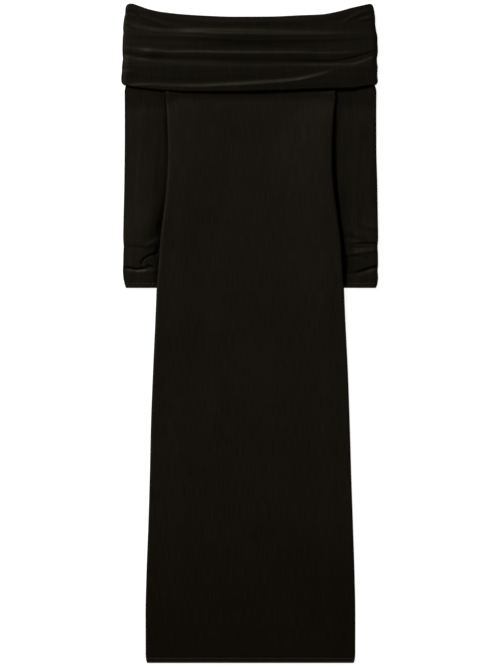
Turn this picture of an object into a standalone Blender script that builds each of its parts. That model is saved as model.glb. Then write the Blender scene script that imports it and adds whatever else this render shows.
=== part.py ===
# Off-shoulder dress of black jersey, laid flat on its back.
# Metres, +Z up. +Y points from the hem to the collar, +X to the right of someone who looks down on it.
# A drop is a distance below the collar's highest corner, measured along the dress.
import math
from collections import namedtuple

import bmesh
import bpy

MM = 0.001

# Cloth
WALL = 1.2 * MM
AIR = 0.4 * MM
PITCH = WALL + AIR
FOLD_LIFT = 0.05 * MM

# Overall length, from the collar's corners to the hem
LENGTH = 1318.4 * MM

# Where pieces begin and end, as drops
SEAM_DROP = 130 * MM
CUFF_DROP = 568 * MM
HEM_DROP = 1318 * MM

# Layers: body and sleeves climb onto the collar's back, and the body's sides onto the tucked sleeves
ON_COLLAR_BACK = 2
ON_SLEEVE = 2
CLIMB_END = 176 * MM
CLIMB_START = 206 * MM
TUCK_START = 212 * MM
TUCK_END = 254 * MM
CREASE_START = 430 * MM
TUCK_LEAST = 12 * MM
TUCK_MARGIN = 4 * MM
TUCK_SLOPE = 24 * MM
CUFF_MARGIN = 3 * MM
CUFF_SLOPE = 30 * MM
COLLAR_CLIMB_START = 104 * MM
COLLAR_CLIMB_END = 124 * MM

# The collar's back lies this far inside the outline of its front
BACK_SIDE_INSET = 1.5 * MM
BACK_TOP_INSET = 2.5 * MM
BACK_LOW_INSET = 5 * MM

# Soft shapes
COLLAR_ROLL = 2.6 * MM
COLLAR_DEPTH = 160 * MM
COLLAR_SIDE_ROLL = 9 * MM
COLLAR_FULLNESS = 1.2 * MM
INNER_SHARE = 0.4
SLEEVE_FULLNESS = 1.5 * MM
SLEEVE_FLAT_RIM = 12 * MM
RIPPLE_FADE = 60 * MM

Side = namedtuple("Side", "drop left right")
Edge = namedtuple("Edge", "x drop")
Sleeve = namedtuple("Sleeve", "drop left right tuck")
Fold = namedtuple("Fold", "name drops rises above below")
Crease = namedtuple("Crease", "name drop slant start end rise width")
Ripple = namedtuple("Ripple", "name top low rise width")

# Outline of the collar's front, in millimetres
COLLAR_SIDES = [
    Side(drop=3, left=-245, right=246),
    Side(drop=9, left=-247, right=247.6),
    Side(drop=21, left=-248.4, right=249.8),
    Side(drop=36, left=-251.6, right=250.8),
    Side(drop=49, left=-252.4, right=252.4),
    Side(drop=66, left=-253.2, right=255.4),
    Side(drop=95, left=-253.8, right=256),
    Side(drop=107, left=-253.1, right=254.6),
    Side(drop=122, left=-254.6, right=255.8),
    Side(drop=147, left=-256.1, right=256),
    Side(drop=156, left=-255.4, right=256),
    Side(drop=162, left=-250.8, right=252.4),
]
COLLAR_TOP = [
    Edge(x=-245, drop=3),
    Edge(x=-238, drop=0.2),
    Edge(x=-226, drop=2.6),
    Edge(x=-202, drop=11),
    Edge(x=-179, drop=16.2),
    Edge(x=-139, drop=21),
    Edge(x=-98, drop=23.8),
    Edge(x=-30, drop=26.3),
    Edge(x=41, drop=26),
    Edge(x=102, drop=23.4),
    Edge(x=142, drop=21.8),
    Edge(x=164, drop=18.6),
    Edge(x=202, drop=9),
    Edge(x=226, drop=3.2),
    Edge(x=239, drop=0.7),
    Edge(x=246, drop=3),
]
COLLAR_LOW = [
    Edge(x=-250.8, drop=162),
    Edge(x=-215, drop=167.6),
    Edge(x=-173, drop=173),
    Edge(x=-115, drop=176),
    Edge(x=-55, drop=176),
    Edge(x=45, drop=173.8),
    Edge(x=121, drop=170.8),
    Edge(x=199, drop=168.4),
    Edge(x=229, drop=164.6),
    Edge(x=252.4, drop=162),
]

# Outline of the body, in millimetres
BODY_SIDES = [
    Side(drop=130, left=-158, right=161),
    Side(drop=178, left=-167.2, right=171.4),
    Side(drop=232, left=-164, right=167.6),
    Side(drop=292, left=-162.2, right=164.8),
    Side(drop=332, left=-163.2, right=165.6),
    Side(drop=372, left=-166.2, right=168.4),
    Side(drop=408, left=-170, right=173.4),
    Side(drop=450, left=-175.4, right=179),
    Side(drop=488, left=-179.2, right=183.2),
    Side(drop=526, left=-181.8, right=185.2),
    Side(drop=566, left=-185, right=188),
    Side(drop=642, left=-188.4, right=191.5),
    Side(drop=742, left=-193, right=196.4),
    Side(drop=842, left=-196.8, right=199.9),
    Side(drop=942, left=-199, right=202.8),
    Side(drop=1042, left=-202, right=206.2),
    Side(drop=1142, left=-205.8, right=209.4),
    Side(drop=1222, left=-207.6, right=211),
    Side(drop=1302, left=-207.4, right=210.8),
    Side(drop=1318, left=-205.6, right=208.8),
]

# The sleeves' outer edges, and how far their inner edges are tucked behind the body, in millimetres
SLEEVES = [
    Sleeve(drop=130, left=-238, right=241, tuck=-1),
    Sleeve(drop=160, left=-246, right=249, tuck=-1),
    Sleeve(drop=176, left=-249, right=252.8, tuck=-1),
    Sleeve(drop=212, left=-249, right=252.8, tuck=-1),
    Sleeve(drop=224, left=-249, right=252.8, tuck=16),
    Sleeve(drop=238, left=-249, right=252.8, tuck=34),
    Sleeve(drop=254, left=-249, right=252.9, tuck=44),
    Sleeve(drop=292, left=-249.2, right=253, tuck=42),
    Sleeve(drop=360, left=-250, right=254.8, tuck=38),
    Sleeve(drop=432, left=-251.4, right=256, tuck=33),
    Sleeve(drop=528, left=-252.8, right=256.6, tuck=26),
    Sleeve(drop=550, left=-251.6, right=256.2, tuck=24),
    Sleeve(drop=558, left=-249.6, right=255.2, tuck=23),
    Sleeve(drop=568, left=-247, right=252.8, tuck=22),
]

# Drapes of the collar: their drops and rises at its left side, quarters, middle and right side, in
# millimetres, and how far each falls away above and below its crest
COLLAR_FOLDS = [
    Fold("top roll", (8, 26, 32, 29, 9), (1.5, 1.2, 1.6, 1.2, 1.5), 12, 7),
    Fold("first drape", (40, 51, 56, 57, 62), (2.0, 4.6, 3.6, 3.6, 1.2), 13, 9),
    Fold("second drape", (90, 97, 98, 98, 94), (2.2, 3.6, 3.4, 3.6, 2.0), 9, 8),
    Fold("third drape", (104, 118, 121, 120, 100), (2.6, 2.2, 1.6, 3.2, 3.6), 7, 12),
    Fold("low drape", (158, 159, 154, 146, 138), (2.6, 3.8, 4.4, 3.4, 0.8), 22, 14),
]

# Pushed-up creases above the wrists: their drops at the outer edge, how much lower they lie at the body,
# and their stretch between outer edge (0) and body (1)
LEFT_CREASES = [
    Crease("upper", 486, -8, 0.2, 1.0, 1.2, 9),
    Crease("middle", 503, -2, 0.0, 0.9, 1.0, 8),
    Crease("wrist", 536, 4, 0.0, 1.0, 1.6, 7),
]
RIGHT_CREASES = [
    Crease("upper", 452, 14, 0.1, 1.0, 1.3, 10),
    Crease("middle", 480, 8, 0.0, 0.9, 1.1, 8),
    Crease("wrist", 540, 8, 0.0, 0.9, 1.6, 7),
]

# Long soft ripples of the front: where they stand at the waist and at the hem, in millimetres
RIPPLES = [
    Ripple("left", -118, -140, 0.8, 26),
    Ripple("left of middle", -46, -52, 0.6, 34),
    Ripple("right of middle", 38, 52, 0.7, 32),
    Ripple("right", 112, 138, 0.9, 24),
]

JERSEY = (0.0068, 0.0058, 0.0046, 1.0)
INNER_JERSEY = (0.0056, 0.0048, 0.0040, 1.0)
JERSEY_ROUGHNESS = 0.78


def clamp(value, low=0.0, high=1.0):
    return max(low, min(high, value))


def smooth_step(value):
    value = clamp(value)
    return value * value * (3 - 2 * value)


def smooth_curve(places, values):
    """A curve through the rows of a table that never swings past them, read by calling it."""
    count = len(places)
    spans = [places[i + 1] - places[i] for i in range(count - 1)]
    slopes = [(values[i + 1] - values[i]) / spans[i] for i in range(count - 1)]
    tangents = [slopes[0]]
    for before, after in zip(slopes, slopes[1:]):
        tangents.append(2 * before * after / (before + after) if before * after > 0 else 0.0)
    tangents.append(slopes[-1])

    def read(place):
        place = clamp(place, places[0], places[-1])
        i = 0
        while i < count - 2 and place > places[i + 1]:
            i += 1
        t = (place - places[i]) / spans[i]
        start = (1 + 2 * t) * (1 - t) ** 2 * values[i] + t * (1 - t) ** 2 * spans[i] * tangents[i]
        end = t * t * (3 - 2 * t) * values[i + 1] + t * t * (t - 1) * spans[i] * tangents[i + 1]
        return start + end

    return read


def column(table, place, value):
    """One column of a table in millimetres as a smooth curve in metres."""
    places = [getattr(row, place) * MM for row in table]
    return smooth_curve(places, [getattr(row, value) * MM for row in table])


collar_left = column(COLLAR_SIDES, "drop", "left")
collar_right = column(COLLAR_SIDES, "drop", "right")
collar_top = column(COLLAR_TOP, "x", "drop")
collar_low = column(COLLAR_LOW, "x", "drop")
body_left = column(BODY_SIDES, "drop", "left")
body_right = column(BODY_SIDES, "drop", "right")
sleeve_left_edge = column(SLEEVES, "drop", "left")
sleeve_right_edge = column(SLEEVES, "drop", "right")
sleeve_tuck = column(SLEEVES, "drop", "tuck")


def layer(number):
    """Height of the middle of a layer of cloth, the floor's first layer being 0."""
    return WALL / 2 + number * PITCH


def point(x, drop, z):
    return (x, LENGTH / 2 - drop, z)


def spread(start, end, count):
    return [start + (end - start) * i / (count - 1) for i in range(count)]


def clear_scene():
    for obj in list(bpy.data.objects):
        bpy.data.objects.remove(obj, do_unlink=True)


def jersey(name, color):
    material = bpy.data.materials.new(name)
    material.use_nodes = True
    shader = material.node_tree.nodes["Principled BSDF"]
    shader.inputs["Base Color"].default_value = color
    shader.inputs["Roughness"].default_value = JERSEY_ROUGHNESS
    shader.inputs["Metallic"].default_value = 0.0
    return material


def cloth(name, rows, closed, color, collection):
    """A wall of cloth through rows of points; closed joins each row's end to its start."""
    mesh = bpy.data.meshes.new(name)
    grid = bmesh.new()
    verts = [[grid.verts.new(spot) for spot in row] for row in rows]
    width = len(rows[0])
    for upper, lower in zip(verts, verts[1:]):
        for i in range(width if closed else width - 1):
            j = (i + 1) % width
            grid.faces.new((upper[i], lower[i], lower[j], upper[j]))
    grid.to_mesh(mesh)
    grid.free()
    mesh.shade_smooth()
    mesh.materials.append(jersey(f"{name} jersey", color))
    obj = bpy.data.objects.new(name, mesh)
    collection.objects.link(obj)
    wall = obj.modifiers.new("Wall", "SOLIDIFY")
    wall.thickness = WALL
    wall.offset = 0
    wall.use_even_offset = True
    return obj


# The collar: a cloth tube that runs from side to side, folded flat at its top and low edges


def collar_spot(u, v, side_inset=0.0, top_inset=0.0, low_inset=0.0):
    """The place at u across and v down the collar's outline, as x and drop."""
    first, last = COLLAR_SIDES[0].drop * MM, COLLAR_SIDES[-1].drop * MM
    side_drop = first + (last - first) * v
    left = collar_left(side_drop) + side_inset
    right = collar_right(side_drop) - side_inset
    x = left + (right - left) * u
    top_start, top_end = COLLAR_TOP[0].x * MM, COLLAR_TOP[-1].x * MM
    low_start, low_end = COLLAR_LOW[0].x * MM, COLLAR_LOW[-1].x * MM
    top = collar_top(top_start + (top_end - top_start) * u) + top_inset
    low = collar_low(low_start + (low_end - low_start) * u) - low_inset
    return x, top + (low - top) * v


def fold_height(u, drop, fold):
    stations = spread(0, 1, len(fold.drops))
    crest = smooth_curve(stations, [value * MM for value in fold.drops])(u)
    rise = smooth_curve(stations, [value * MM for value in fold.rises])(u)
    reach = (fold.above if drop < crest else fold.below) * MM
    return rise * math.exp(-(((drop - crest) / reach) ** 2))


def collar_relief(u, x, drop):
    """How far the collar's drapes stand over cloth that lies flat."""
    side = min(x - collar_left(drop), collar_right(drop) - x)
    near = 1 - clamp(side / COLLAR_SIDE_ROLL)
    roundness = math.sqrt(max(0.0, 1 - near * near))
    height = COLLAR_FULLNESS + sum(fold_height(u, drop, fold) for fold in COLLAR_FOLDS)
    return height * roundness


def collar_front_layer(x, drop):
    """The layer number of the front's inner wall: it climbs over the body and sleeves."""
    climb = smooth_step((drop - COLLAR_CLIMB_START) / (COLLAR_CLIMB_END - COLLAR_CLIMB_START))
    side = min(x - collar_left(drop), collar_right(drop) - x)
    left_room = sleeve_left_edge(drop) - collar_left(drop)
    right_room = collar_right(drop) - sleeve_right_edge(drop)
    room = left_room if x < 0 else right_room
    dip = clamp((room - 4 * MM) / (8 * MM)) * (1 - smooth_step(side / (0.75 * room)))
    return 2 + 2 * climb * (1 - dip)


def roundness_at(v, roll):
    """0 at a folded edge, growing to 1 as a quarter circle one roll away from it."""
    near = 1 - clamp(min(v, 1 - v) / roll)
    return math.sqrt(max(0.0, 1 - near * near))


def down_the_collar(steps, roll):
    """Places down the collar, close together where it folds."""
    start = WALL / 2 / COLLAR_DEPTH
    bend = [start, start + 0.25 * roll, start + roll]
    middle = spread(start + roll, 1 - start - roll, steps)[1:-1]
    return bend + middle + [1 - v for v in reversed(bend)]


def collar_tube(stations, outer_steps, inner_steps, roll, spot, heights):
    """Rings around the collar, one for each station across it."""
    start = WALL / 2 / COLLAR_DEPTH
    outer = down_the_collar(outer_steps, roll)
    inner = down_the_collar(inner_steps, roll)[1:-1]
    rings = []
    for u in stations:
        ring = []
        for v, is_outer in [(v, True) for v in outer] + [(v, False) for v in reversed(inner)]:
            x, drop = spot(u, v)
            low, high = heights(u, x, drop)
            middle = (low + high) / 2
            roundness = roundness_at(v - start if v < 0.5 else v + start, roll)
            z = middle + ((high if is_outer else low) - middle) * roundness
            ring.append(point(x, drop, z))
        rings.append(ring)
    return rings


def across_the_collar(steps):
    ends = [0.0, 0.005, 0.018]
    return ends + spread(0.045, 0.955, steps) + [1 - u for u in reversed(ends)]


def make_collar_front(collection):
    def heights(u, x, drop):
        relief = collar_relief(u, x, drop)
        low = layer(collar_front_layer(x, drop)) + INNER_SHARE * relief
        return low, low + PITCH + (1 - INNER_SHARE) * relief

    roll = COLLAR_ROLL / COLLAR_DEPTH
    rings = collar_tube(across_the_collar(21), 24, 10, roll, collar_spot, heights)
    return cloth("collar_front", rings, True, JERSEY, collection)


def make_collar_back(collection):
    def spot(u, v):
        return collar_spot(u, v, BACK_SIDE_INSET, BACK_TOP_INSET, BACK_LOW_INSET)

    def heights(u, x, drop):
        return layer(0) + FOLD_LIFT, layer(1) + FOLD_LIFT

    roll = PITCH / 2 / COLLAR_DEPTH
    rings = collar_tube(across_the_collar(8), 6, 6, roll, spot, heights)
    return cloth("collar_back", rings, True, INNER_JERSEY, collection)


# The body: a front and a back panel


def on_collar_back(drop):
    """1 where the body and sleeves lie on the collar's back, 0 where they lie on the floor."""
    return smooth_step((CLIMB_START - drop) / (CLIMB_START - CLIMB_END))


def on_sleeve(inward, drop):
    """1 where the body's side lies on a tucked sleeve, an inward distance from its edge."""
    tuck = max(sleeve_tuck(drop), TUCK_LEAST)
    beside = smooth_step((tuck + TUCK_MARGIN + TUCK_SLOPE - inward) / TUCK_SLOPE)
    above = smooth_step((CUFF_DROP + CUFF_MARGIN + CUFF_SLOPE - drop) / CUFF_SLOPE)
    return beside * above


def body_layer(x, drop):
    beside_left = on_sleeve(x - body_left(drop), drop)
    beside_right = on_sleeve(body_right(drop) - x, drop)
    return ON_SLEEVE * (1 - (1 - on_collar_back(drop)) * (1 - beside_left) * (1 - beside_right))


def ripple_height(x, drop):
    down = (drop - SEAM_DROP) / (HEM_DROP - SEAM_DROP)
    height = 0.0
    for ripple in RIPPLES:
        crest = (ripple.top + (ripple.low - ripple.top) * down) * MM
        height += ripple.rise * MM * math.exp(-(((x - crest) / (ripple.width * MM)) ** 2))
    return height * smooth_step((drop - CLIMB_START) / RIPPLE_FADE)


def body_columns(drop):
    """Places across the body: close together over the tucked sleeves, even between them."""
    left, right = body_left(drop), body_right(drop)
    tuck = max(sleeve_tuck(drop), TUCK_LEAST)
    inward = [0, tuck, tuck + TUCK_MARGIN]
    inward += [tuck + TUCK_MARGIN + TUCK_SLOPE * share for share in (0.5, 1.0)]
    middle = spread(left + inward[-1], right - inward[-1], 8)[1:-1]
    return [left + d for d in inward] + middle + [right - d for d in reversed(inward)]


def armhole_drops():
    """Places down the armhole seam, where body and sleeve lie edge to edge, and down the tuck's start."""
    seam = spread(SEAM_DROP, CLIMB_END, 4) + spread(CLIMB_END, TUCK_START, 5)[1:]
    return seam + spread(TUCK_START, TUCK_END, 4)[1:]


def body_drops():
    flank = spread(TUCK_END, CUFF_DROP + CUFF_MARGIN, 9)[1:]
    below = [flank[-1] + CUFF_SLOPE * share for share in (0.33, 0.67, 1.0)]
    skirt = spread(below[-1], HEM_DROP - 16 * MM, 8)[1:]
    return armhole_drops() + flank + below + skirt + [HEM_DROP]


def make_body(name, number, is_rippled, color, collection):
    rows = []
    for drop in body_drops():
        row = []
        for x in body_columns(drop):
            z = layer(body_layer(x, drop) + number)
            row.append(point(x, drop, z + (ripple_height(x, drop) if is_rippled else 0.0)))
        rows.append(row)
    return cloth(name, rows, False, color, collection)


# The sleeves: tubes that run from armhole to cuff, folded flat at both edges


def crease_height(across, drop, creases):
    height = 0.0
    for crease in creases:
        crest = (crease.drop + crease.slant * across) * MM
        inside = smooth_step((across - crease.start) / 0.12) * smooth_step((crease.end - across) / 0.12)
        height += crease.rise * MM * inside * math.exp(-(((drop - crest) / (crease.width * MM)) ** 2))
    return height


def sleeve_relief(shown, room, drop, creases):
    """How far a sleeve's upper wall stands over flat cloth, a shown distance from its outer edge."""
    across = shown / max(room - SLEEVE_FLAT_RIM, MM)
    if across >= 1:
        return 0.0
    fullness = SLEEVE_FULLNESS * math.sin(math.pi * across)
    height = fullness + crease_height(across, drop, creases) * math.sin(math.pi * across) ** 0.5
    return height * smooth_step((drop - CLIMB_END) / RIPPLE_FADE)


def sleeve_drops():
    arm = spread(TUCK_END, CREASE_START, 4)[1:]
    return armhole_drops() + arm + spread(CREASE_START, CUFF_DROP, 13)[1:]


def make_sleeve(name, outer_edge, body_edge, inward, creases, collection):
    """inward is +1 where the body lies to the sleeve's right, and -1 where it lies to its left."""
    radius = PITCH / 2
    bend = [(radius * (1 - math.cos(a)), math.sin(a)) for a in (0.0, math.pi / 4, math.pi / 2)]
    rings = []
    for drop in sleeve_drops():
        start = outer_edge(drop) + inward * WALL / 2
        width = inward * (body_edge(drop) - start) + sleeve_tuck(drop)
        room = inward * (body_edge(drop) - outer_edge(drop))
        low = layer(ON_COLLAR_BACK * on_collar_back(drop)) + FOLD_LIFT
        upper = bend + [(width * share, 1.0) for share in (0.1, 0.24, 0.38, 0.52, 0.7)]
        upper += [(width - across, share) for across, share in reversed(bend)]
        lower = [(width - across, -share) for across, share in bend[1:]]
        lower += [(width * share, -1.0) for share in (0.67, 0.33)]
        lower += [(across, -share) for across, share in reversed(bend[1:])]
        ring = []
        for across, share in upper + lower:
            z = low + radius + radius * share
            if share > 0:
                z += share * sleeve_relief(across, room, drop, creases)
            ring.append(point(start + inward * across, drop, z))
        rings.append(ring)
    return cloth(name, rings, True, JERSEY, collection)


def build():
    clear_scene()
    dress = bpy.data.collections.new("off_shoulder_dress")
    bpy.context.scene.collection.children.link(dress)
    make_collar_back(dress)
    make_sleeve("sleeve_left", sleeve_left_edge, body_left, 1, LEFT_CREASES, dress)
    make_sleeve("sleeve_right", sleeve_right_edge, body_right, -1, RIGHT_CREASES, dress)
    make_body("body_back", 0, False, INNER_JERSEY, dress)
    make_body("body_front", 1, True, JERSEY, dress)
    make_collar_front(dress)


build()
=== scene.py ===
import math

import bpy
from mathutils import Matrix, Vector
import numpy as np


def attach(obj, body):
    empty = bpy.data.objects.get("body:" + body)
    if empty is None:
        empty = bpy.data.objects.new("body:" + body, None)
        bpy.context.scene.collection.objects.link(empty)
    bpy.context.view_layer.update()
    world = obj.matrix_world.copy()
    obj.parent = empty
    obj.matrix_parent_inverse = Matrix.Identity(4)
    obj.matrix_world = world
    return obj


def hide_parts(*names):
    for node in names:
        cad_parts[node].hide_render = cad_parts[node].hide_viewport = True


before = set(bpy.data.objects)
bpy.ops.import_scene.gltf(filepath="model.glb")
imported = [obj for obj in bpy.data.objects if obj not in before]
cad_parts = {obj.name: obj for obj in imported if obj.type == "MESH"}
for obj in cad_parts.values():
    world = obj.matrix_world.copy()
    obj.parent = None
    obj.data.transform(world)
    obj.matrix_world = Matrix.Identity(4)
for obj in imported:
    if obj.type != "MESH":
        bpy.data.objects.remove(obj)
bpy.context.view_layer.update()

# Off-shoulder dress of black jersey, laid flat on its back. Sizes in the dictionaries are in millimetres:
# x is measured from the middle, drop from the collar's highest corner down to the hem. A side is -1 at
# the left and 1 at the right.
mm = 0.001
dress = {
    "length": 1318.4,
    "wall": 0.9,              # thickness of the drawn cloth
    "firstLayer": 0.6,        # height of the middle of the lowest layer
    "pitch": 1.6,             # from one layer's middle to the next one's
    "clear": 0.05,            # the least air between two walls
    "collarShade": 0.34,      # painted shade: how dim the cloth is painted at the collar's low edge
    "collarShadeReach": 20.0,
}


def ramp(value):
    value = np.clip(value, 0.0, 1.0)
    return value * value * (3 - 2 * value)


def rampBetween(value, start, end):
    # 0 at start, growing softly to 1 at end
    return ramp((value - start) / (end - start))


def curveThrough(places, values):
    # a smooth curve through a table's rows that never swings past them
    places, values = np.array(places, float), np.array(values, float)
    spans = np.diff(places)
    slopes = np.diff(values) / spans
    product = slopes[:-1] * slopes[1:]
    total = np.where(product > 0, slopes[:-1] + slopes[1:], 1.0)
    tangents = np.concatenate([[slopes[0]], np.where(product > 0, 2 * product / total, 0.0), [slopes[-1]]])

    def read(at):
        at = np.clip(at, places[0], places[-1])
        i = np.clip(np.searchsorted(places, at, side="right") - 1, 0, len(spans) - 1)
        t = (at - places[i]) / spans[i]
        start = (1 + 2 * t) * (1 - t) ** 2 * values[i] + t * (1 - t) ** 2 * spans[i] * tangents[i]
        return start + t * t * (3 - 2 * t) * values[i + 1] + t * t * (t - 1) * spans[i] * tangents[i + 1]

    return read


def layer(number):
    return dress["firstLayer"] + dress["pitch"] * number


def softWaves(x, drop, waves):
    # faint uneven waves, each a sine that bends along its length
    height = np.zeros(np.broadcast(x, drop).shape)
    for wave in waves:
        across, along = (x, drop) if wave["along"] == "drop" else (drop, x)
        bend = wave["bend"] * np.sin(2 * math.pi * along / wave["bendLength"] + wave["shift"])
        turns = 2 * math.pi * (across + bend) / wave["pitch"] + 3 * wave["shift"]
        height = height + wave["rise"] * np.sin(turns)
    return height


def nearTo(distance, radius):
    # 0 at an edge, growing to 1 as a quarter circle of this radius
    near = 1 - np.clip(distance / radius, 0.0, 1.0)
    return np.sqrt(np.maximum(0.0, 1 - near * near))


def shell(name, x, drop, z, closed, deep=None):
    # a thin wall of cloth through a grid of places, in millimetres; deep is the painted shade, 1 where the
    # cloth is painted fully dark at the bottom of a tight fold
    rows, columns = x.shape
    spots = np.stack([x, dress["length"] / 2 - drop, z], axis=-1).reshape(-1, 3) * mm
    index = np.arange(rows * columns).reshape(rows, columns)
    right = np.roll(index, -1, axis=1) if closed else index[:, 1:]
    left = index if closed else index[:, :-1]
    faces = np.stack([left[:-1], left[1:], right[1:], right[:-1]], axis=-1).reshape(-1, 4)
    mesh = bpy.data.meshes.new(name)
    mesh.from_pydata(spots.tolist(), [], faces.tolist())
    mesh.shade_smooth()
    # the painted shade is kept on each place as an attribute, which the finish reads
    paintedShadeMask = mesh.attributes.new("paintedShade", "FLOAT", "POINT")
    paintedShadeMask.data.foreach_set("value", (np.zeros(x.size) if deep is None else deep.ravel()).astype(np.float32))
    obj = bpy.data.objects.new(name, mesh)
    bpy.context.scene.collection.objects.link(obj)
    wall = obj.modifiers.new("wall", "SOLIDIFY")
    wall.thickness = dress["wall"] * mm
    wall.offset = 0
    wall.use_even_offset = True
    return obj


def fromEdges(start, end, near, count):
    # places from one edge to the other, close together near both
    near = np.array(near, float)
    middle = np.linspace(near[-1], end - start - near[-1], count)[1:-1]
    return start + np.concatenate([near, middle, (end - start) - near[::-1]])


def rowDrops(rows, fineFrom, edge, lastRows):
    # rows down a piece as its table says, then the last ones at their distances from its edge
    starts = rows["from"] + [edge - fineFrom]
    runs = [np.arange(start, stop, step) for start, stop, step in zip(starts, starts[1:], rows["step"])]
    return np.concatenate(runs + [edge - np.array(lastRows)])


# The body: front and back panels

body = {
    "seamDrop": 130.0,
    "cuffDrop": 571.0,        # below this the sides no longer lie on the sleeves
    "pastCuff": 10.0,
    "hemDrop": 1319.0,
    "hemBand": 11.0,          # depth of the turned hem
    "hemRise": 0.3,
    "hemStep": 4.0,           # the band rises over this way
    "hemGroove": 0.6,         # a shallow groove lies this far above the band
    "hemGrooveWidth": 1.1,
    "hemCurl": 3.0,           # the hem's edge turns down this far in
    "hemFoot": 1.2,           # the height of that edge
    "climbTop": 176.0,        # above this the panels lie on the collar's back
    "climbFoot": 214.0,
    "frontFoot": 312.0,       # the front comes down more slowly than the back
    "levelTop": 254.0,        # above this the front's sides stay as high as here
    "onSleeveTop": 167.0,     # between these the front's edges come to lie on the sleeves
    "onSleeveFoot": 178.0,
    "onSleeveRise": 1.2,
    "leastTuck": 12.0,        # the panels stay level over a tucked sleeve at least this far in
    "pastTuck": 4.0,
    "slope": 96.0,            # how far the front slopes down beside a tucked sleeve
    "foot": 170.0,            # and below it
    "backSlope": 26.0,
    "backFoot": 34.0,
    "looseTop": 182.0,        # between these the ripples, waves and raised edges set in
    "looseFoot": 242.0,
    "lift": 0.3,              # air under the front
    "edgeFlat": 6.0,          # the raised edges stay level this far in
    "leftReach": 16.0,        # and fall off over this way
    "rightReach": 62.0,
    "rimPlace": 3.5,          # the rim along the right edge
    "rimWidth": 7.5,
    "leftCurl": 5.6,          # the front's edges turn down this far in
    "rightCurl": 3.4,
    "edgeLift": 1.2,          # the least that the front stands above the back near its edges
    "edgeLiftReach": 14.0,
    "panelGap": 0.1,
    "backInset": 2.4,         # the back's edges stay behind the front's
    "backTuck": 3.2,          # and still further behind them near the collar
    "backTuckTop": 232.0,
    "backTuckFoot": 262.0,
    "backHem": 2.5,           # the back ends this far above the front
    "frontRows": {            # how far apart the rows are from each drop on
        "from": [130, 162, 202, 640],
        "step": [7.0, 2.5, 7.0, 11.2],
    },
    "backRows": {
        "from": [130, 162, 202, 640],
        "step": [12.0, 2.5, 12.0, 19.2],
    },
    "hemFine": 14.0,          # the last rows start here, at these distances from the edge
    "hemRows": [13.6, 12.8, 12.2, 11.6, 11.0, 10.4, 9.6, 8.4, 6.8, 5, 3.6, 2.8, 2.1, 1.4, 0.8, 0.35, 0.1, 0],
    "frontEdgeColumns": [0, 0.35, 1.0, 1.9, 3.1, 4.6, 6.6, 9.2, 12.5, 16.5],
    "frontColumns": 50,
    "backEdgeColumns": [0, 3, 8, 15, 24],
    "backColumns": 26,
    "sides": {
        "drop": [130, 178, 232, 292, 332, 372, 408, 450, 488, 526, 566, 642, 742, 842, 942, 1042, 1142,
                 1222, 1302, 1308, 1314, 1319],
        "left": [-158.6, -167.8, -164.6, -162.8, -163.8, -166.8, -170.6, -176, -179.8, -182.4,
                 -185.6, -189, -193.6, -197.4, -199.6, -202.6, -206.4, -208.2, -208, -207.6,
                 -206.8, -205.2],
        "right": [161.6, 172, 168.2, 165.4, 166.2, 169, 174, 179.6, 183.8, 185.8, 188.6, 192.1,
                  197, 200.5, 203.4, 206.8, 210, 211.6, 211.4, 211, 210, 208.4],
    },
    "edgeRise": {             # how much higher than flat cloth the front's edges stand
        "drop": [178, 232, 332, 450, 540, 580, 640, 840, 1060, 1318],
        "left": [0.4, 0.6, 0.8, 1.0, 0.8, 0.6, 0.5, 0.5, 0.4, 0.4],
        "right": [1.2, 3.4, 5.2, 5.2, 4.4, 3.2, 2.6, 1.8, 0.8, 0.4],
        "rightRim": [0.0, 0.0, 0.1, 0.9, 1.0, 0.9, 0.8, 0.8, 0.7, 0.4],
    },
    "ripples": {              # long soft ripples of the front, at the collar and at the hem
        "top": [-132, -62, 8, 74, 146],
        "low": [-150, -58, 18, 92, 168],
        "rise": [0.5, 0.4, 0.35, 0.45, 0.6],
        "width": [24, 34, 38, 30, 17],
    },
    "waves": [
        {"along": "drop", "rise": 0.10, "pitch": 61, "bend": 6, "bendLength": 410, "shift": 0.7},
        {"along": "drop", "rise": 0.06, "pitch": 37, "bend": 5, "bendLength": 290, "shift": 2.1},
        {"along": "across", "rise": 0.16, "pitch": 240, "bend": 40, "bendLength": 520, "shift": 1.3},
    ],
}
bodyLeft, bodyRight = (
    curveThrough(body["sides"]["drop"], body["sides"][side]) for side in ("left", "right")
)
edgeRiseLeft, edgeRiseRight, rightRim = (
    curveThrough(body["edgeRise"]["drop"], body["edgeRise"][column])
    for column in ("left", "right", "rightRim")
)

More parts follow.
